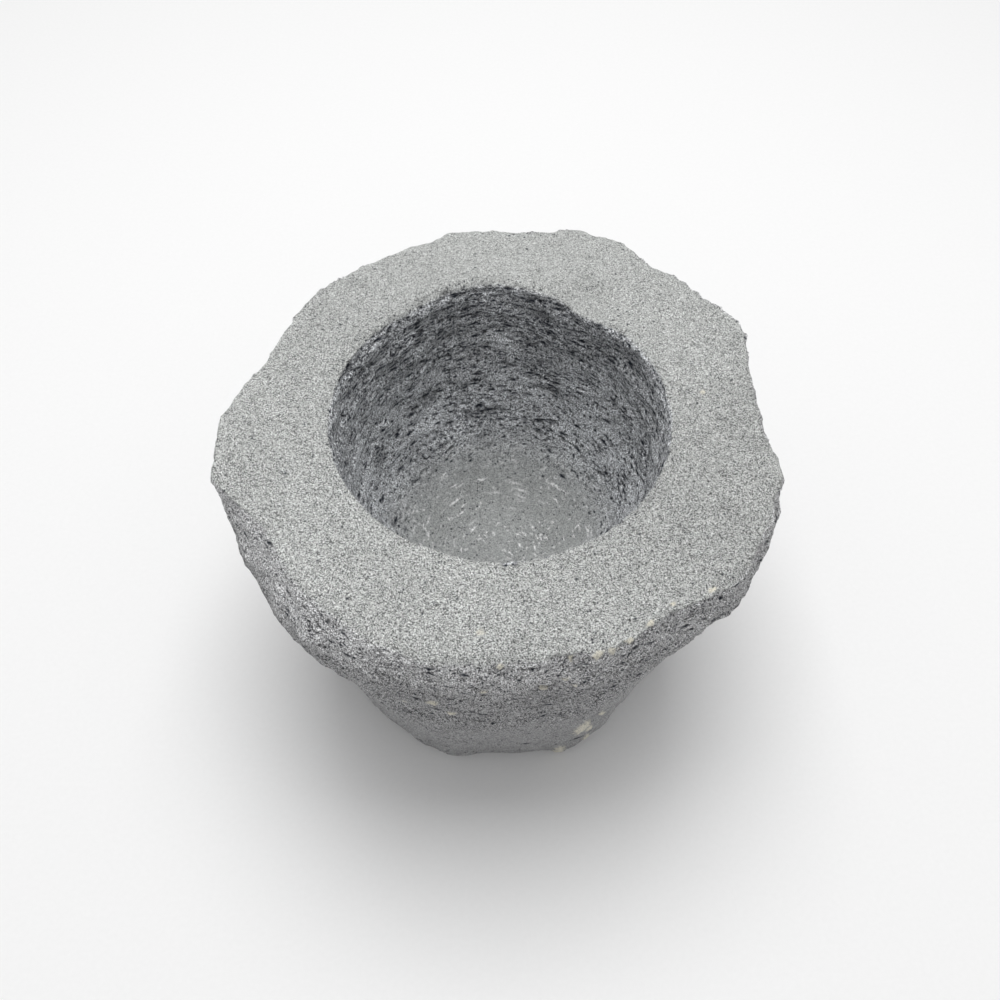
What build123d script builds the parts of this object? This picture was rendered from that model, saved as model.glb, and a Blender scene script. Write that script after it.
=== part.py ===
"""Molcajete: a rough-hewn mortar carved from one block of vesicular volcanic stone.

Millimetres, +Z up. The origin is on the ground, under the middle of the block's outline.
"""
from build123d import *
import os
from math import cos, radians, sin

# Driving dimensions
HEIGHT = 135.0
GIRDLE_DROP = 22.0
WAIST_DROP = 60.0
FOOT_BEVEL = 3.0

BOWL_Y = 2.0
MOUTH_RADIUS = 60.5
BOWL_DEPTH = 92.0
WALL_RADIUS = 53.0
WALL_DROP = 54.0
LIP_ROUNDING = 2.0

CHIP_BEARING = 60.0
CHIP_REACH = 66.0
CHIP_RADIUS = 17.0
CHIP_DEPTH = 3.5

# The hewn arrises that run down the outside of the block, anticlockwise from +X.
# Each row: bearing in degrees, then the distance from the bowl's axis at the rim's edge,
# at the girdle where the block is widest, at the waist, and at the foot.
ARRISES = [
    (10, 93, 98, 89, 74),
    (22, 100, 101, 90, 74),
    (28, 101.5, 103.5, 91, 75),
    (35, 97.5, 101, 90, 74),
    (42, 99, 101, 90, 74),
    (51, 97, 99, 89, 74),
    (61, 102, 101, 89, 74),
    (72, 102.5, 102.4, 90, 74),
    (82, 96, 98, 88, 72),
    (92, 96.5, 98, 88, 72),
    (103, 97, 98, 88, 72),
    (113, 93, 96, 87, 72),
    (126, 93, 97, 88, 73),
    (139, 93.5, 97, 88, 73),
    (149, 92, 96, 88, 73),
    (165, 90.5, 96, 88, 73),
    (173, 95.5, 98, 90, 73),
    (181, 100, 100, 91, 74),
    (188, 101, 101, 92, 75),
    (196, 104, 104, 92, 75),
    (212, 92, 103.5, 91, 75),
    (222, 94, 106, 92, 74),
    (234, 97, 106.5, 93, 76),
    (245, 99, 105, 93, 79),
    (256, 102, 103, 93, 80.5),
    (270, 99.5, 101.5, 92, 74.5),
    (290, 101, 102.5, 93, 79),
    (303, 98, 100.5, 89, 77.5),
    (316, 103, 103.5, 90, 71),
    (324, 103.5, 104, 92, 73),
    (333, 101, 104.5, 92, 74),
    (344, 102, 104, 92, 75),
    (357, 92.5, 99, 89, 74),
]


def outline(column, inset=0.0):
    """Corner points of the block at one level, around the bowl's axis."""
    points = []
    for arris in ARRISES:
        bearing = radians(arris[0])
        reach = arris[column] - inset
        points.append((reach * cos(bearing), BOWL_Y + reach * sin(bearing)))
    return points


# Height and outline of each level, from the sole to the rim
LEVELS = [
    (0, outline(4, inset=FOOT_BEVEL)),
    (FOOT_BEVEL, outline(4)),
    (HEIGHT - WAIST_DROP, outline(3)),
    (HEIGHT - GIRDLE_DROP, outline(2)),
    (HEIGHT, outline(1)),
]

bowl_plane = Plane(origin=(0, BOWL_Y, 0), x_dir=(1, 0, 0), z_dir=(0, -1, 0))
bowl_axis = Axis((0, BOWL_Y, 0), (0, 0, 1))

with BuildPart() as mortar_body:
    # The hewn block
    for level, corners in LEVELS:
        with BuildSketch(Plane.XY.offset(level)):
            with BuildLine():
                Polyline(*corners, close=True)
            make_face()
    loft(ruled=True)

    # The bowl: a slightly tapered wall that runs into a round floor
    with BuildSketch(bowl_plane):
        with BuildLine():
            Line((0, HEIGHT - BOWL_DEPTH), (0, HEIGHT))
            Line((0, HEIGHT), (MOUTH_RADIUS, HEIGHT))
            Spline(
                (MOUTH_RADIUS, HEIGHT),
                (WALL_RADIUS, HEIGHT - WALL_DROP),
                (0, HEIGHT - BOWL_DEPTH),
                tangents=[(-0.1, -1), (-1, 0)],
            )
        make_face()
    revolve(axis=bowl_axis, mode=Mode.SUBTRACT)

    # The bowl's worn lip
    lip = mortar_body.edges().filter_by(GeomType.CIRCLE).sort_by(Axis.Z)[-1]
    fillet(lip, LIP_ROUNDING)

    # A shallow chip out of the lip
    chip_x = CHIP_REACH * cos(radians(CHIP_BEARING))
    chip_y = BOWL_Y + CHIP_REACH * sin(radians(CHIP_BEARING))
    with Locations((chip_x, chip_y, HEIGHT + CHIP_RADIUS - CHIP_DEPTH)):
        Sphere(CHIP_RADIUS, mode=Mode.SUBTRACT)

mortar_body.part.label = "mortar_body"

os.makedirs("parts", exist_ok=True)
export_step(mortar_body.part, "parts/mortar_body.step")
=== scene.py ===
"""Looks of the stone mortar: a hewn block of volcanic stone, full of gas pores, around its CAD solid."""
from copy import copy
from itertools import product
from math import cos, pi, radians, sin

import bpy
import numpy as np
from mathutils import Euler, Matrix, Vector


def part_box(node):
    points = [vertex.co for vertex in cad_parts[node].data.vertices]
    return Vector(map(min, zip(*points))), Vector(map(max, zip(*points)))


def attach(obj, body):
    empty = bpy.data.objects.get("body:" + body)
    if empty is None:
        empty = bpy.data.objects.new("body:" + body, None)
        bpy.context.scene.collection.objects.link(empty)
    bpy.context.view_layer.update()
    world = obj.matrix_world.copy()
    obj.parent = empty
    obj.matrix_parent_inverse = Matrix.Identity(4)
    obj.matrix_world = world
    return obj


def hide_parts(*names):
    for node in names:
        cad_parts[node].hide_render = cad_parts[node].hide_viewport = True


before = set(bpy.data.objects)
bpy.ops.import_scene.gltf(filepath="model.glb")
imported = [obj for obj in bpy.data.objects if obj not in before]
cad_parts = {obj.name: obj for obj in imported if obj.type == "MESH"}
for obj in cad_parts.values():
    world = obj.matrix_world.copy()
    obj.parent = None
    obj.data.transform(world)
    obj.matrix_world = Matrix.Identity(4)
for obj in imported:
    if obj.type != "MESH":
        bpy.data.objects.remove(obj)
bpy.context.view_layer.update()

# Places in the CAD frame, in metres
RIM_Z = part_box("mortar_body")[1].z
BOWL_Y = 0.002
MOUTH_RADIUS = 0.0605
MOUTH = Vector((0, BOWL_Y, RIM_Z))

# The camera looks down on the mouth of the bowl
VIEW_ELEVATION = radians(50.63)
VIEW_DISTANCE = 0.3877
CAMERA_PITCH = radians(55.26)
FOCAL_LENGTH = 39.0

# The studio: a floor and one lamp over it, in metres and watts
FLOOR_SIDE = 6.0
LAMP_PLACE = (0.0, 0.25, 1.4)
LAMP_SIZE = 0.9
LAMP_POWER = 13.5
SKY_STRENGTH = 0.5

# The stone's mesh: voxels in metres, and rounds of smoothing that round an arris to about 5 mm
VOXEL = 0.0012
ROUNDS = 30

# The surface is worked out in millimetres
MM = 1000.0
RIM_HEIGHT = RIM_Z * MM
AXIS_Y = BOWL_Y * MM
LIP_RADIUS = MOUTH_RADIUS * MM

# Radii at which the flank and the wall of the bowl are laid out level by level
FLANK_GIRTH = 95
WALL_GIRTH = 54

# Bearings round the block, in degrees: its back, its front, the worn corner and the worn part of the lip
BACK = 90
FRONT = 270
CORNER = 225
WORN_LIP = 112

# Colours of the stone, as red, green and blue reflectance
RIM_COLOUR = (0.446, 0.455, 0.446)
FLOOR_COLOUR = (0.375, 0.385, 0.380)
WALL_COLOUR = (0.515, 0.526, 0.542)
FLANK_COLOUR = (0.475, 0.476, 0.482)
# Near black: painted shadow inside the small pores and gashes that the material adds
PIT_SHADOW_COLOUR = (0.020, 0.024, 0.034, 1.0)
CREAM_COLOUR = (0.78, 0.75, 0.65, 1.0)

# Sizes in the stone's grain, in metres
GRAIN_SIZE = 0.00025
PINHOLE_SPACING = 0.0008
MOTTLE_SIZE = 0.005
GASH_RAGGEDNESS = 0.0008
GRAIN_HEIGHT = 0.0003

# How much grain, pinholes and mottle change the brightness, and what the pinholes take on average
GRAIN_CONTRAST = 2.0
PINHOLE_CONTRAST = 0.35
PINHOLE_LOSS = 0.04
MOTTLE_CONTRAST = 0.05

# The pestle's strokes: how far they wander, and how much pattern each radian round the bowl gets
STROKE_WANDER = 0.0004
STROKE_TURN = 0.004

# The sheet that the surface is laid out on, in millimetres
SHEET_SIDE = 512
FLANK_RADIUS = 92
WALL_RADIUS = 53
FLOOR_RADIUS = 42

# Where its parts lie on that sheet: corners of strips, and middles of discs
BACK_STRIP = (3, 4)
FRONT_STRIP = (148, 4)
WALL_STRIP = (4, 388)
LEVEL_DISC = (400, 108)
SOLE_DISC = (378, 300)

# Odd factors that scatter neighbouring cells: one for each axis, one for the seed, and two that mix
AXIS_FACTORS = (73856093, 19349663, 83492791)
SEED_FACTOR = 2654435761
MIX_STEPS = ((15, 2246822519), (13, 3266489917))

# Ten bits of a cell's number make one coordinate, and a remainder is its point's own number
TEN_BITS = 1023
POINT_NUMBERS = 9973

# Brings the smooth noise's swing to about -1 to 1
NOISE_GAIN = 1.7


# ---------------------------------------------------------------- patterns
def hashed(cell, seed):
    """A repeatable 32-bit number for each row of integer cell coordinates."""
    key = cell.astype(np.int64).astype(np.uint32)
    mixed = np.uint32(seed * SEED_FACTOR % 2**32)
    for column, factor in zip(key.T, AXIS_FACTORS):
        mixed = mixed ^ column * np.uint32(factor)
    for shift, factor in MIX_STEPS:
        mixed = (mixed ^ (mixed >> np.uint32(shift))) * np.uint32(factor)
    return mixed ^ (mixed >> np.uint32(16))


def random_vector(number):
    """Three numbers from 0 to 1 out of each 32-bit number."""
    parts = [number >> np.uint32(shift) & np.uint32(TEN_BITS) for shift in (0, 10, 20)]
    return np.stack(parts, axis=1) / float(TEN_BITS)


def noise(points, size, seed):
    """Smooth noise from about -1 to 1 with bumps of that size."""
    place = points / size
    cell = np.floor(place)
    inside = place - cell
    ease = inside**3 * (inside * (inside * 6 - 15) + 10)
    total = np.zeros(len(points))
    for corner in product((0, 1), repeat=3):
        slope = random_vector(hashed(cell + corner, seed)) * 2 - 1
        weight = np.prod(np.where(corner, ease, 1 - ease), axis=1)
        total += weight * ((inside - corner) * slope).sum(axis=1)
    return total * NOISE_GAIN


def cells(points, size, seed):
    """Distance to the nearest scattered point, in cell sizes, and that point's random number."""
    place = points / size
    base = np.floor(place)
    nearest = np.full(len(points), 9.0)
    number = np.zeros(len(points))
    for step in product((-1, 0, 1), repeat=3):
        cell = base + step
        key = hashed(cell, seed)
        offset = place - cell - random_vector(key)
        distance = (offset**2).sum(axis=1)
        closer = distance < nearest
        nearest[closer] = distance[closer]
        number[closer] = (key[closer] % np.uint32(POINT_NUMBERS)) / float(POINT_NUMBERS)
    return np.sqrt(nearest), number


def ramp(value, start, end):
    """0 at start, 1 at end, smooth in between."""
    t = np.clip((value - start) / (end - start), 0, 1)
    return t * t * (3 - 2 * t)


def pits(points, size, radius, seed, share=1.0):
    """Round gas pores: 1 in the middle of one, 0 outside. That share of the cells has one."""
    distance, number = cells(points, size, seed)
    reach = radius * (0.5 + 0.5 * number / share)
    return np.where(number < share, 1 - ramp(distance * size, reach * 0.35, reach), 0)


# ---------------------------------------------------------------- the stone's shape
def even_mesh(node):
    """A copy of a CAD node's mesh, remade as small even quads."""
    block = bpy.data.objects.new("block", node.data.copy())
    bpy.context.collection.objects.link(block)
    weld = block.modifiers.new("weld", "WELD")
    weld.merge_threshold = 1e-6
    remesh = block.modifiers.new("remesh", "REMESH")
    remesh.mode = "VOXEL"
    remesh.voxel_size = VOXEL
    evaluated = block.evaluated_get(bpy.context.evaluated_depsgraph_get())
    mesh = bpy.data.meshes.new_from_object(evaluated)
    bpy.data.objects.remove(block)
    return mesh


def vertex_array(mesh, field="co"):
    """A row of three numbers for each vertex: its place, or its normal."""
    values = np.empty(len(mesh.vertices) * 3, np.float32)
    if field == "normal":
        mesh.vertex_normals.foreach_get("vector", values)
    else:
        mesh.vertices.foreach_get(field, values)
    return values.reshape(-1, 3).astype(float)


def edge_array(mesh):
    """A row of two vertex numbers for each edge."""
    edges = np.empty(len(mesh.edges) * 2, np.int32)
    mesh.edges.foreach_get("vertices", edges)
    return edges.reshape(-1, 2)


def relaxed(values, edges, rounds):
    """Rows of values, one per vertex, each moved that many times towards its neighbours' mean."""
    first, second = edges.T
    count = len(values)
    degree = np.bincount(first, minlength=count) + np.bincount(second, minlength=count)
    for _ in range(rounds):
        around = np.stack([
            np.bincount(first, column[second], count) + np.bincount(second, column[first], count)
            for column in values.T
        ], axis=1)
        values = 0.5 * values + 0.5 * around / degree[:, None]
    return values


class Surface:
    """Where each vertex of the smooth block lies, in millimetres, and which region it belongs to."""

    def __init__(self, mesh):
        self.points = vertex_array(mesh) * MM
        self.normals = vertex_array(mesh, "normal")
        x = self.points[:, 0]
        y = self.points[:, 1] - AXIS_Y
        self.radius = np.hypot(x, y)
        self.bearing = np.degrees(np.arctan2(y, x)) % 360
        self.drop = RIM_HEIGHT - self.points[:, 2]
        upward = self.normals[:, 2]
        # The bowl lies inside a radius of about 75 and above a drop of about 105
        inner = ramp(self.radius, 78, 72) * ramp(self.drop, 110, 100)
        self.top = ramp(upward, 0.35, 0.9) * ramp(self.drop, 9, 4)
        self.sole = ramp(upward, -0.6, -0.95) * ramp(self.points[:, 2], 3, 1)
        self.bowl = inner * (1 - self.top)
        self.flank = (1 - inner) * (1 - self.top) * (1 - self.sole)

    def where(self, chosen):
        """The same surface with only the chosen vertices."""
        part = copy(self)
        for name, values in vars(self).items():
            setattr(part, name, values[chosen])
        return part

    def around(self, bearing, half_width):
        """1 at that bearing and 0 beyond half_width degrees to each side of it."""
        gap = np.abs((self.bearing - bearing + 180) % 360 - 180)
        return ramp(gap, half_width, 0)

    def unrolled(self, radius):
        """The wall laid out level by level: a circle of that radius, and the drop below the rim."""
        angle = np.radians(self.bearing)
        return np.column_stack([radius * np.cos(angle), radius * np.sin(angle), self.drop])

    def blot(self, bearing, level, half, turn=0.0, flat=False, fray=0.5):
        """1 in an oval with frayed edges, 0 outside. level is its drop, or its radius on the flat."""
        along = np.radians((self.bearing - bearing + 180) % 360 - 180) * self.radius
        across = (self.radius if flat else self.drop) - level
        lean, rise = cos(radians(turn)), sin(radians(turn))
        length, width = half
        oval = np.hypot((along * lean + across * rise) / length, (across * lean - along * rise) / width)
        near = oval < 2
        found = np.zeros(len(oval))
        found[near] = ramp(oval[near] + fray * noise(self.points[near], 1.5, 91), 1.0, 0.55)
        return found


def soften(mesh):
    """Wears the arrises of the flank round, most of all one corner and the back of the lip."""
    edges = edge_array(mesh)
    place = Surface(mesh)
    points = vertex_array(mesh)
    crisp = relaxed(points, edges, 2)
    soft = relaxed(crisp, edges, ROUNDS)
    worn = relaxed(soft, edges, 3 * ROUNDS)
    outside = ramp(place.radius, 70, 78)
    front = place.around(FRONT - 4, 44)
    # The rim's outer edge stays crisp except at the front
    blend = outside * np.maximum(ramp(place.drop, 3, 9), 0.95 * front)
    lip = ramp(np.abs(place.radius - LIP_RADIUS), 12, 3) * ramp(place.drop, 16, 6)
    blend = np.maximum(blend, lip * np.maximum(place.around(WORN_LIP, 75), 0.25))
    blend = blend * ramp(points[:, 2], 0.001, 0.004)
    # The left corner and the front are worn deepest
    corner = ramp(place.bearing, 186, 206) * ramp(place.bearing, 262, 240)
    deep = np.maximum(ramp(place.radius, 72, 86) * corner, front * ramp(place.radius, 79, 92))
    deep = deep * ramp(place.drop, 60, 30)
    points = crisp + (soft - crisp) * blend[:, None]
    points += (worn - soft) * (deep * blend)[:, None]
    mesh.vertices.foreach_set("co", points.astype(np.float32).ravel())
    mesh.update()


def subdivided(mesh):
    """The mesh with each quad cut in four, smoothly."""
    block = bpy.data.objects.new("block", mesh)
    bpy.context.collection.objects.link(block)
    finer = block.modifiers.new("finer", "SUBSURF")
    finer.levels = 1
    evaluated = block.evaluated_get(bpy.context.evaluated_depsgraph_get())
    result = bpy.data.meshes.new_from_object(evaluated)
    bpy.data.objects.remove(block)
    return result


def bent(points, amount, size, seed):
    """The points pushed about by smooth noise, so that a pattern on them wanders."""
    push = np.stack([noise(points, size, seed + axis) for axis in range(3)], axis=1)
    return points + amount * push


def gouges(unrolled, length, height, share, seed):
    """Short level gouges of a pecking tool: 1 in the middle of each, 0 outside."""
    stretch = length / height
    distance, number = cells(unrolled / (stretch, stretch, 1), height, seed)
    return ramp(distance, 0.62, 0.1) * ramp(number, 1 - share, 1 - 0.4 * share)


def flank_relief(place):
    """Height in millimetres of the hewn and broken outside of the block."""
    points = place.points
    hewn = bent(points, 3, 16, 11)
    scallop, tilt = cells(hewn / (1, 1, 0.62), 15, 14)
    chip, chip_tilt = cells(hewn / (1, 1, 0.55), 6.5, 15)
    layers = bent(place.unrolled(FLANK_GIRTH), 1.2, 9, 22)
    smooth = np.maximum(place.around(CORNER, 48), 0.6 * place.around(FRONT, 45))
    smooth = smooth * ramp(place.drop, 60, 30)
    rough = (0.45 + 0.55 * ramp(place.drop, 85, 55)) * (1 - 0.6 * smooth)
    # Broad swells, the scallops of the hewing tool, smaller chips, and broken grain
    height = 1.2 * noise(points, 38, 17) + 0.8 * noise(points, 19, 18)
    height += rough * (1.9 * (scallop**2 - 0.3) + 0.9 * (tilt - 0.5))
    height += rough * (0.9 * (chip**2 - 0.3) + 0.4 * (chip_tilt - 0.5))
    height += rough * (0.4 * noise(points, 3.4, 19) + 0.25 * noise(points, 1.8, 20))
    height -= rough * 1.0 * gouges(layers, 6.0, 1.9, 0.5, 16)
    # Long fine cracks between the layers, in patches near the rim
    cracks = ramp(np.abs(noise(layers / (7, 7, 1), 2.6, 25)), 0.12, 0.0)
    height -= 0.9 * cracks * ramp(noise(points, 22, 21), -0.2, 0.3) * ramp(place.drop, 40, 18)
    return height - 1.1 * bedding(place) + 0.7 * crust(place)


def bedding(place):
    """Open cracks between layers of the stone under its front edge."""
    found = np.zeros(len(place.points))
    # Bearing, drop, half length, half height and slant
    cracks = (
        (275, 6, 6, 0.6, 3), (286, 9, 7, 0.7, 7), (266, 13, 4, 0.6, 2), (291, 7, 5, 0.6, 4),
        (250, 14, 6, 0.7, -6), (278, 17, 4, 0.6, 3), (258, 21, 5, 0.6, -3), (286, 24, 5, 0.7, 6),
        (270, 31, 6, 0.7, 0), (296, 18, 4, 0.7, 9),
    )
    for bearing, drop, length, height, slant in cracks:
        found = np.maximum(found, place.blot(bearing, drop, (length, height), slant, fray=0.7))
    return found


def top_relief(place):
    """Height of the rim's flat: nearly level, with a fine dressed grain."""
    points = place.points
    height = 0.5 * noise(points, 42, 31) + 0.35 * noise(points, 16, 32)
    height += 0.1 * noise(points, 4.5, 33) + 0.06 * noise(points, 1.6, 34)
    return height


def bowl_relief(place):
    """Height of the inside of the bowl: short broken gouges in arched rows, and a ground floor."""
    points = place.points
    rows = bent(place.unrolled(WALL_GIRTH), 2.4, 15, 41)
    rows[:, 2] += 2.0 * noise(points, 40, 40)
    wall = ramp(place.drop, 88, 68)
    height = 0.6 * noise(points, 24, 46) + (0.3 + 0.6 * wall) * noise(rows / (2, 2, 1), 7, 45)
    gashes = 1.5 * gouges(rows, 6.0, 2.0, 0.5, 47) + 0.6 * gouges(rows, 2.8, 1.2, 0.5, 48)
    height -= (0.15 + 0.85 * wall) * (0.2 + 0.8 * crowding(place)) * gashes
    height += (0.2 + 0.1 * wall) * noise(points, 2.6, 49) + 0.1 * noise(points, 1.5, 50)
    return height


def crowding(place):
    """1 in the patches of the bowl's wall where the gouges crowd, 0 in the smoother ones."""
    return ramp(noise(place.unrolled(WALL_GIRTH) / (2.2, 2.2, 1), 12, 44), -0.25, 0.3)


def edge_wear(place):
    """How deep the rim's outer edge and its lip are nibbled and crumbled, in millimetres."""
    turning = ramp(place.normals[:, 2], 0.98, 0.75)
    outer = ramp(place.radius, 78, 86) * ramp(place.drop, 7, 0.5) * turning
    lip = ramp(np.abs(place.radius - LIP_RADIUS), 6, 1) * ramp(place.drop, 7, 1)
    bite, depth = cells(place.points, 7.5, 51)
    nibble = ramp(bite, 0.75, 0.2) * ramp(depth, 0.35, 1)
    small, small_depth = cells(place.points, 3.0, 52)
    crumb = ramp(small, 0.8, 0.2) * ramp(small_depth, 0.4, 1)
    worn = place.around(WORN_LIP, 75)
    front = place.around(FRONT, 24)
    smooth = np.maximum(place.around(CORNER, 48), 0.6 * front)
    broken = (1 - 0.7 * smooth) * (2.2 * nibble + 1.0 * crumb)
    crumbled = (0.6 + 0.9 * worn) * nibble + (0.6 + 0.8 * worn + 0.9 * front) * crumb
    return outer * broken + lip * crumbled


def pore_relief(place):
    """Depth from 0 to 1 of the larger gas pores, which lie thickest in the wall of the bowl."""
    small = pits(place.points, 2.6, 0.95, 61, 0.55)
    large = pits(place.points, 6.0, 1.3, 62, 0.35)
    thick = np.maximum(place.bowl * ramp(place.drop, 84, 66), 0.55 * place.flank)
    return np.maximum(small * np.maximum(thick, 0.1), large * np.maximum(thick, 0.15))


def outline_shift(place):
    """Millimetres that the hewn outline near the rim moves outward."""
    outer = ramp(place.radius, 74, 90) * ramp(place.drop, 45, 12)
    level = place.points * (1, 1, 0.5)
    return outer * (0.8 * noise(level, 12, 72) + 0.7 * noise(level, 5.5, 73))


def mouth_shift(place):
    """Millimetres that the bowl's wall moves outward: worn at the back, less at a ledge beside it."""
    near = ramp(place.radius, LIP_RADIUS + 12, LIP_RADIUS + 2)
    deep = ramp(place.drop, 60, 10)
    shallow = ramp(place.drop, 18, 3)
    worn = 4.4 * place.around(BACK + 5, 34)
    ledge = -2.6 * place.around(52, 15) + 1.2 * place.around(FRONT, 22)
    wander = 0.8 * noise(place.points, 17, 71) + 0.6 * noise(place.points, 5, 74)
    wander = wander * place.around(60, 50)
    return near * (deep * worn + shallow * (ledge + wander))


def relief(place):
    """Height of the whole surface over the smooth block, in millimetres, and how deep its pores are."""
    height = np.zeros(len(place.points))
    regions = ((place.flank, flank_relief), (place.top, top_relief), (place.bowl, bowl_relief))
    for weight, shape in regions:
        inside = weight > 0
        height[inside] += weight[inside] * shape(place.where(inside))
    edge = place.drop < 8
    height[edge] -= edge_wear(place.where(edge))
    pores = pore_relief(place)
    height -= pores * (0.5 * place.top + 0.9 * place.bowl + 0.8 * place.flank)
    flat = height * (1 - place.sole) - 0.3 * place.sole * np.abs(height)
    return np.where(place.sole > 0, flat, height), pores


def store(mesh, name, values):
    """Keeps a number or a colour for each vertex, under that name."""
    kind, field = ("FLOAT", "value") if values.ndim == 1 else ("FLOAT_COLOR", "color")
    layer = mesh.attributes.new(name, kind, "POINT")
    layer.data.foreach_set(field, values.astype(np.float32).ravel())


def carve(mesh):
    """Moves the smooth block's vertices to the stone's surface, and keeps what the material reads."""
    place = Surface(mesh)
    height, pores = relief(place)
    angle = np.radians(place.bearing)
    points = place.points + place.normals * height[:, None]
    shift = mouth_shift(place) + outline_shift(place)
    points[:, :2] += np.column_stack([np.cos(angle), np.sin(angle)]) * shift[:, None]
    points[:, 2] = np.maximum(points[:, 2], 0)
    hollow = (height[:, None] - relaxed(height[:, None], edge_array(mesh), 8))[:, 0]
    mesh.vertices.foreach_set("co", (points / MM).astype(np.float32).ravel())
    store(mesh, "tone", tone(place, hollow, pores))
    store(mesh, "grit", grit(place))
    store(mesh, "pecks", pecks(place))
    store(mesh, "gashed", gashed(place))
    store(mesh, "crust", crust(place))
    store(mesh, "scuff", scuff(place))
    unwrap(mesh, place)
    mesh.update()


# ---------------------------------------------------------------- what the material reads
def gouged_wall(place):
    """1 on the bowl's wall, down to where its ground floor begins."""
    return place.bowl * ramp(place.drop, 86, 62)


def tone(place, hollow, pores):
    """Colour of the stone: pale on the dressed rim, bluer where it is rough, and darkened by painted
    shade where it is hollow, pitted or cracked, under the girdle and at the back of the bowl.
    """
    wall = gouged_wall(place)
    floor = place.bowl - wall
    shares = np.stack([place.top, floor, wall, place.flank + place.sole], axis=1)
    shares /= np.maximum(shares.sum(axis=1), 0.01)[:, None]
    colour = shares @ np.array([RIM_COLOUR, FLOOR_COLOUR, WALL_COLOUR, FLANK_COLOUR])
    # Hollows and pores are painted darker as their shade, and the stone varies in patches
    level = 1 + np.clip(hollow, -1.2, 0.15) * (0.3 + 0.6 * wall + 0.15 * place.flank)
    level *= 1 - pores * (0.35 + 0.45 * wall)
    level *= 1 + 0.06 * noise(place.points, 30, 81) + 0.05 * noise(place.points, 9, 82)
    level *= 1 + wall * 0.2 * noise(place.points * (1, 1, 1.8), 13, 83)
    # The flank is painted darker under the girdle as its shade, least at its front right, and darkest in
    # its cracks, where shade is painted too
    level *= 1 - 0.28 * place.flank * ramp(place.drop, 11, 24) * (1 - 0.8 * place.around(325, 40))
    level *= 1 - 0.25 * place.flank * bedding(place)
    # The back is a little paler, and the rim is darker at its front right
    level *= 1 + 0.03 * place.around(BACK, 60) - 0.11 * place.top * place.around(330, 70)
    # Painted light and shade on the bowl's wall: paler at its sides and low down, and darker at the back
    level *= 1 + wall * 0.15 * ramp(place.drop, 34, 52)
    sides = (0.18 * place.around(175, 60) + 0.1 * place.around(5, 50)) * ramp(place.drop, 62, 36)
    level *= 1 + wall * (sides - 0.12 * place.around(85, 45) - 0.06 * place.around(150, 30))
    # The worn corner is paler near the rim
    level *= 1 + 0.15 * place.flank * ramp(place.drop, 26, 5) * place.around(CORNER - 3, 45)
    # Painted shade darkens the deeply pecked patches and the top of the back wall; one worn patch is
    # paler
    level *= 1 - wall * painted_shade_patches(place)
    colour = colour * np.clip(level, 0.15, 1.5)[:, None]
    return np.column_stack([colour, np.ones(len(colour))])


def painted_shade_patches(place):
    """How much painted shade darkens the deeply pecked patches of the bowl's wall and its top under the
    back of the lip, and how much paler the worn ones are.
    """
    found = np.zeros(len(place.points))
    # Bearing, drop, half length, half height, slant and depth of painted shade, paler where negative
    patches = (
        (157, 53, 6, 5, 0, 0.45), (122, 46, 9, 4, 12, 0.3), (100, 60, 10, 2.5, 5, 0.25),
        (88, 26, 8, 5, 8, -0.3), (66, 48, 9, 3, -8, 0.25), (112, 20, 12, 5, 0, 0.2),
        (48, 14, 8, 5, 0, 0.2), (75, 12, 14, 4, 0, 0.2),
    )
    for bearing, drop, length, height, slant, depth in patches:
        found += depth * place.blot(bearing, drop, (length, height), slant)
    return found


def grit(place):
    """How strong the grain shows at each vertex."""
    wall = gouged_wall(place)
    low = place.flank * ramp(place.drop, 55, 95)
    back = place.top * place.around(BACK, 90)
    return 1 + 0.3 * wall + 0.3 * place.flank - 0.7 * low - 0.5 * (place.bowl - wall) - 0.3 * back


def gashed(place):
    """Share of the dark pits that are drawn out into level gashes: none where the stone lies level."""
    return ramp(np.abs(place.normals[:, 2]), 0.85, 0.45) * (1 - 0.7 * place.flank)


def pecks(place):
    """Share of the stone's small cells, from 0 to 1, that hold a dark pit."""
    wall = place.bowl * ramp(place.drop, 96, 62)
    # The rim is pitted most beside the worn part of the lip
    lip = place.top * ramp(place.radius, LIP_RADIUS + 8, LIP_RADIUS + 1)
    lip = lip * place.around(WORN_LIP + 3, 95)
    low = place.flank * ramp(place.drop, 50, 85)
    share = 0.04 + 0.08 * place.bowl + 0.5 * lip + 0.3 * (place.flank - low) + 0.04 * low
    crowded = 0.35 * (crowding(place) - 0.3)
    share += wall * (0.2 + 0.4 * ramp(place.drop, 46, 10) + crowded + painted_shade_patches(place))
    return np.clip(share, 0, 0.9)


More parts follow.
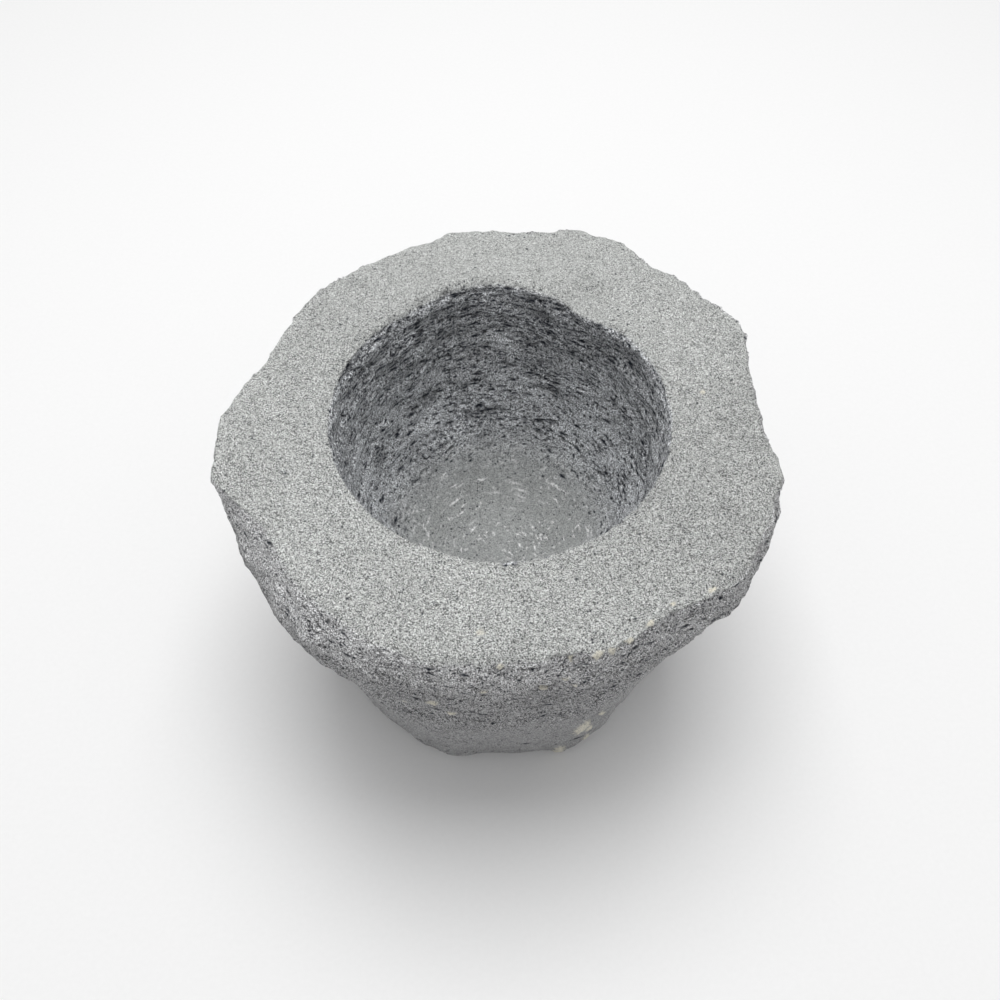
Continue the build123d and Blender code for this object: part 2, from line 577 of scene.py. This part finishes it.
def crust(place):
    """Cream mineral: spots left on the flank, chips along the rim's edge and two flecks on its flat."""
    found = np.zeros(len(place.points))
    # Bearing, drop, half length, half height and slant
    spots = (
        (292, 95, 3.6, 11, 0), (295.5, 108, 1.8, 5, 0), (297.5, 90, 1.5, 3.5, -20),
        (296, 122, 1.7, 5, 0), (288, 128, 2.6, 6, 0), (251, 42, 1.8, 2.0, 8),
        (257, 31, 2.4, 1.5, 12), (260, 45, 1.8, 1.6, 5), (282, 12, 1.9, 0.9, -20),
        (283.5, 16, 1.6, 1.0, -10), (278, 18, 1.8, 0.9, 10), (267, 15, 1.8, 0.6, 0),
    )
    for bearing, drop, length, height, slant in spots:
        found = np.maximum(found, place.flank * place.blot(bearing, drop, (length, height), slant))
    # Bearing, radius, half length and half width
    chips = (
        (283, 98.5, 1.0, 0.7), (288, 99.5, 2.4, 0.9), (290.5, 99.8, 2.4, 1.0), (294, 98.6, 1.8, 0.9),
        (299, 97, 1.8, 1.1), (305, 95.5, 1.1, 0.8), (313, 99, 1.6, 1.1), (270, 98, 1.2, 0.8),
    )
    for bearing, radius, length, width in chips:
        chip = place.blot(bearing, radius, (length, width), flat=True) * ramp(place.drop, 8, 4)
        found = np.maximum(found, chip)
    flecks = place.blot(7, 73.8, (1.4, 1.0), flat=True)
    flecks += 0.6 * place.blot(266, 87.8, (1.8, 1.2), flat=True)
    return np.maximum(found, flecks * ramp(place.drop, 6, 3))


def scuff(place):
    """Where the pestle has whitened the stone: the bowl's floor, and a streak on its right wall."""
    floor = place.bowl * ramp(place.drop, 68, 82)
    patch = 0.35 + 0.65 * ramp(noise(place.points, 10, 95), -0.25, 0.25)
    streak = place.blot(14, 19, (6.0, 0.9), -12) * place.bowl
    return np.maximum(floor * patch, 0.9 * streak)


def unwrap(mesh, place):
    """Lays the surface out on one sheet: flank and bowl wall unrolled, level faces and sole flat."""
    corners = np.empty(len(mesh.loops), np.int32)
    mesh.loops.foreach_get("vertex_index", corners)
    corners = corners.reshape(-1, 4)
    x, y, _ = place.points.T
    y = y - AXIS_Y
    first = place.bearing[corners[:, :1]]
    bearing = first + (place.bearing[corners] - first + 180) % 360 - 180
    drop = place.drop[corners]
    radius = place.radius[corners]
    behind = first < 180
    flank_arc = np.radians(bearing - np.where(behind, 0, 180)) * FLANK_RADIUS
    wall_arc = np.radians(bearing) * LIP_RADIUS
    wall_slide = drop + np.maximum(WALL_RADIUS - radius, 0)
    strip = np.where(behind, BACK_STRIP[0], FRONT_STRIP[0])
    charts = {
        "flank": (drop + strip, flank_arc + BACK_STRIP[1]),
        "level": (x[corners] + LEVEL_DISC[0], y[corners] + LEVEL_DISC[1]),
        "sole": (x[corners] + SOLE_DISC[0], y[corners] + SOLE_DISC[1]),
        "wall": (wall_arc + WALL_STRIP[0], wall_slide + WALL_STRIP[1]),
    }
    regions = ("top", "bowl", "sole")
    # How much of each face belongs to each region: the mean of its corners
    whole = {name: getattr(place, name)[corners].mean(axis=1) for name in regions}
    floor = (whole["bowl"] > 0.5) & (radius.mean(axis=1) < FLOOR_RADIUS)
    chosen = np.where(whole["bowl"] > 0.5, "wall", "flank")
    chosen = np.where((whole["top"] > 0.5) | floor, "level", chosen)
    chosen = np.where(whole["sole"] > 0.5, "sole", chosen)
    sheet = np.zeros(corners.shape + (2,))
    for name, (across, up) in charts.items():
        mine = chosen == name
        sheet[mine] = np.stack([across[mine], up[mine]], axis=2)
    layer = mesh.uv_layers.new(name="OFBake")
    layer.data.foreach_set("uv", (sheet / SHEET_SIDE).astype(np.float32).ravel())


def make_stone():
    """The whole stone: the CAD solid made again as fine quads, worn, cut finer and carved."""
    mesh = even_mesh(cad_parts["mortar_body"])
    soften(mesh)
    mesh = subdivided(mesh)
    mesh.name = "stone_block"
    carve(mesh)
    mesh.shade_smooth()
    stone = bpy.data.objects.new("stone_block", mesh)
    bpy.context.collection.objects.link(stone)
    return stone


# ---------------------------------------------------------------- materials
class Nodes:
    """Short forms for building a node tree."""

    def __init__(self, name):
        self.material = bpy.data.materials.new(name)
        self.material.use_nodes = True
        self.tree = self.material.node_tree
        self.shader = self.tree.nodes["Principled BSDF"]

    def add(self, kind, inputs=None, **settings):
        node = self.tree.nodes.new(kind)
        for key, value in settings.items():
            setattr(node, key, value)
        for key, value in (inputs or {}).items():
            self.feed(node.inputs[key], value)
        return node

    def feed(self, socket, value):
        if isinstance(value, bpy.types.NodeSocket):
            self.tree.links.new(value, socket)
        else:
            socket.default_value = value

    def math(self, operation, first, second=0.0, clamp=False):
        node = self.add("ShaderNodeMath", operation=operation, use_clamp=clamp)
        self.feed(node.inputs[0], first)
        self.feed(node.inputs[1], second)
        return node.outputs[0]

    def vector_math(self, operation, first, second):
        node = self.add("ShaderNodeVectorMath", {0: first, 1: second}, operation=operation)
        return node.outputs[0]

    def mix(self, factor, first, second, blend="MIX"):
        node = self.add("ShaderNodeMix", data_type="RGBA", blend_type=blend)
        factor_input, first_input, second_input, result = 0, 6, 7, 2
        self.feed(node.inputs[factor_input], factor)
        self.feed(node.inputs[first_input], first)
        self.feed(node.inputs[second_input], second)
        return node.outputs[result]

    def remap(self, value, low, high, new_low=0.0, new_high=1.0):
        node = self.add("ShaderNodeMapRange", {
            "Value": value, "From Min": low, "From Max": high,
            "To Min": new_low, "To Max": new_high,
        })
        return node.outputs[0]

    def attribute(self, name):
        return self.add("ShaderNodeAttribute", attribute_name=name).outputs["Fac"]

    def noise(self, vector, size, detail=2.0, rough=0.5):
        node = self.add("ShaderNodeTexNoise", {
            "Vector": vector, "Scale": 1.0 / size, "Detail": detail, "Roughness": rough,
        })
        return node.outputs["Fac"]

    def crumbs(self, vector, size, dimensions="3D"):
        """Scattered points: the distance to the nearest, and three random numbers of its own."""
        node = self.add("ShaderNodeTexVoronoi", voronoi_dimensions=dimensions)
        self.feed(node.inputs["Vector"], vector)
        self.feed(node.inputs["Scale"], 1.0 / size)
        parts = self.add("ShaderNodeSeparateColor", {"Color": node.outputs["Color"]}).outputs
        return node.outputs["Distance"], parts[0], parts[1], parts[2]


def grey(level):
    return (level, level, level, 1.0)


def grain_swing(make, place):
    """Brightness of the sandy grain, around zero: single grains, pinholes painted dark as their shade,
    and a faint mottle.
    """
    _, grain, _, _ = make.crumbs(place, GRAIN_SIZE)
    distance, depth, _, _ = make.crumbs(place, PINHOLE_SPACING)
    mottle = make.noise(place, MOTTLE_SIZE, 3.0)
    pinhole = make.math("SUBTRACT", 1.5, make.math("MULTIPLY", distance, 2.6), clamp=True)
    pinhole = make.math("MULTIPLY", pinhole, depth)
    pinhole = make.math("MULTIPLY", pinhole, PINHOLE_CONTRAST)
    swing = make.math("MULTIPLY", make.math("SUBTRACT", grain, 0.5), GRAIN_CONTRAST)
    swing = make.math("SUBTRACT", make.math("ADD", swing, PINHOLE_LOSS), pinhole)
    return make.math("ADD", swing, make.remap(mottle, 0.3, 0.7, -MOTTLE_CONTRAST, MOTTLE_CONTRAST))


def fine_pores(make, place, size, radius, share):
    """1 in scattered small pores of uneven size, 0 elsewhere."""
    distance, chance, width, _ = make.crumbs(place, size)
    edge = make.math("MULTIPLY", make.remap(width, 0, 1, 0.6, 1.2), radius / size)
    depth = make.math("SUBTRACT", 1.3, make.math("DIVIDE", distance, edge), clamp=True)
    return make.math("MULTIPLY", depth, make.math("LESS_THAN", chance, share))


def level_pits(make, place, stretch, size, radius, share):
    """1 in dark ragged gashes that lie level, 0 elsewhere. share of the cells hold one."""
    ragged = make.add("ShaderNodeTexNoise", {"Vector": place, "Scale": 900.0, "Detail": 1.0})
    shaken = make.vector_math("MULTIPLY", ragged.outputs["Color"], (GASH_RAGGEDNESS,) * 3)
    moved = make.vector_math("ADD", place, shaken)
    squeezed = make.vector_math("DIVIDE", moved, (stretch, stretch, 1))
    distance, chance, width, _ = make.crumbs(squeezed, size)
    edge = make.math("MULTIPLY", make.remap(width, 0, 1, 0.5, 1.2), radius / size)
    depth = make.math("SUBTRACT", 1.4, make.math("DIVIDE", distance, edge), clamp=True)
    return make.math("MULTIPLY", depth, make.math("LESS_THAN", chance, share))


def pestle_strokes(make, place, size, share):
    """Thin pale strokes that circle the axis of the bowl."""
    sideways, ahead, _ = make.add("ShaderNodeSeparateXYZ", {"Vector": place}).outputs
    ahead = make.math("SUBTRACT", ahead, BOWL_Y)
    squares = [make.math("MULTIPLY", part, part) for part in (sideways, ahead)]
    reach = make.math("SQRT", make.math("ADD", *squares))
    wander = make.remap(make.noise(place, 0.0025, 2.0), 0.2, 0.8, -STROKE_WANDER, STROKE_WANDER)
    reach = make.math("ADD", reach, wander)
    turn = make.math("MULTIPLY", make.math("ARCTAN2", ahead, sideways), STROKE_TURN)
    polar = make.add("ShaderNodeCombineXYZ", {"X": turn, "Y": reach}).outputs[0]
    distance, chance, width, _ = make.crumbs(polar, size, "2D")
    edge = make.remap(width, 0, 1, 0.08, 0.26)
    depth = make.math("SUBTRACT", 1.3, make.math("DIVIDE", distance, edge), clamp=True)
    broken = make.remap(make.noise(place, 0.001, 1.0), 0.35, 0.5)
    depth = make.math("MULTIPLY", depth, broken)
    return make.math("MULTIPLY", depth, make.math("LESS_THAN", chance, share))


def stone_material():
    """Grey volcanic stone: sandy grain, fine pores painted dark as their shadow, pestle strokes and
    cream mineral.
    """
    make = Nodes("basalt")
    place = make.add("ShaderNodeTexCoord").outputs["Object"]
    tone_colour = make.add("ShaderNodeAttribute", attribute_name="tone").outputs["Color"]
    grit_level = make.attribute("grit")
    scuff_level = make.attribute("scuff")

    # Grain, and round pores and level gashes painted near black as their shadow
    swing = grain_swing(make, place)
    share = make.attribute("pecks")
    crowded = fine_pores(make, place, size=0.0011, radius=0.0004, share=share)
    lone = fine_pores(make, place, size=0.0035, radius=0.0005, share=0.2)
    dots = make.math("MAXIMUM", crowded, lone)
    share = make.math("MULTIPLY", share, make.attribute("gashed"))
    long = level_pits(make, place, stretch=3.6, size=0.0015, radius=0.0006, share=share)
    short = level_pits(make, place, stretch=1.9, size=0.0011, radius=0.00045, share=share)
    gashes = make.math("MAXIMUM", long, short)
    pores = make.math("MAXIMUM", dots, gashes)
    level = make.math("ADD", make.math("MULTIPLY", swing, grit_level), 1.0)
    colour = make.mix(1.0, tone_colour, make.math("MAXIMUM", level, 0.06), "MULTIPLY")
    # Pores and gashes take the near-black colour of painted shadow
    colour = make.mix(pores, colour, PIT_SHADOW_COLOUR)

    # What whitens it: the pestle's strokes, and cream mineral broken up by the grain
    flecks = make.math("MULTIPLY", make.remap(make.noise(place, 0.002, 2.0), 0.6, 0.7), 0.6)
    strokes = make.math("MAXIMUM", pestle_strokes(make, place, size=0.0022, share=0.7), flecks)
    strength = make.math("MULTIPLY", scuff_level, make.remap(swing, -1, 0, 0.6, 1.2))
    strokes = make.math("MULTIPLY", strokes, strength)
    colour = make.mix(make.math("MINIMUM", strokes, 1.0), colour, grey(0.95))
    grainy = make.remap(swing, -0.9, -0.2, 0.4, 1.0)
    mineral = make.math("MULTIPLY", make.attribute("crust"), grainy)
    colour = make.mix(mineral, colour, CREAM_COLOUR)
    make.feed(make.shader.inputs["Base Color"], colour)
    make.shader.inputs["Roughness"].default_value = 0.93
    make.shader.inputs["Specular IOR Level"].default_value = 0.25

    height = make.math("SUBTRACT", make.math("MULTIPLY", swing, grit_level), pores)
    bump = make.add("ShaderNodeBump", {"Height": height, "Strength": 0.8, "Distance": GRAIN_HEIGHT})
    make.feed(make.shader.inputs["Normal"], bump.outputs[0])
    return make.material


def floor_material():
    make = Nodes("studio_paper")
    place = make.add("ShaderNodeTexCoord").outputs["Object"]
    fibre = make.remap(make.noise(place, 0.002, 3.0), 0.3, 0.7, 0.885, 0.9)
    make.feed(make.shader.inputs["Base Color"], make.mix(1.0, grey(1.0), fibre, "MULTIPLY"))
    make.shader.inputs["Roughness"].default_value = 0.9
    return make.material


# ---------------------------------------------------------------- studio
def make_floor():
    half = FLOOR_SIDE / 2
    corners = [(-half, -half, 0), (half, -half, 0), (half, half, 0), (-half, half, 0)]
    mesh = bpy.data.meshes.new("floor")
    mesh.from_pydata(corners, [], [(0, 1, 2, 3)])
    mesh.materials.append(floor_material())
    floor = bpy.data.objects.new("floor", mesh)
    bpy.context.collection.objects.link(floor)


def make_lights():
    lamp = bpy.data.lights.new("overhead", "AREA")
    lamp.size = LAMP_SIZE
    lamp.energy = LAMP_POWER
    light = bpy.data.objects.new("overhead", lamp)
    light.location = LAMP_PLACE
    light.rotation_euler = (Vector(LAMP_PLACE) - MOUTH).to_track_quat("Z", "Y").to_euler()
    bpy.context.collection.objects.link(light)
    world = bpy.data.worlds.new("studio")
    world.use_nodes = True
    background = world.node_tree.nodes["Background"]
    background.inputs["Color"].default_value = (1, 1, 1, 1)
    background.inputs["Strength"].default_value = SKY_STRENGTH
    bpy.context.scene.world = world
    bpy.context.scene.view_settings.view_transform = "Standard"


def make_camera():
    lens = bpy.data.cameras.new("camera")
    lens.lens = FOCAL_LENGTH
    camera = bpy.data.objects.new("camera", lens)
    back = VIEW_DISTANCE * cos(VIEW_ELEVATION)
    rise = VIEW_DISTANCE * sin(VIEW_ELEVATION)
    camera.location = MOUTH + Vector((0, -back, rise))
    camera.rotation_euler = Euler((pi / 2 - CAMERA_PITCH, 0, 0))
    bpy.context.collection.objects.link(camera)
    bpy.context.scene.camera = camera


make_camera()
make_lights()
make_floor()

stone = make_stone()
stone.data.materials.clear()
stone.data.materials.append(stone_material())
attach(stone, "root")
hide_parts("mortar_body")
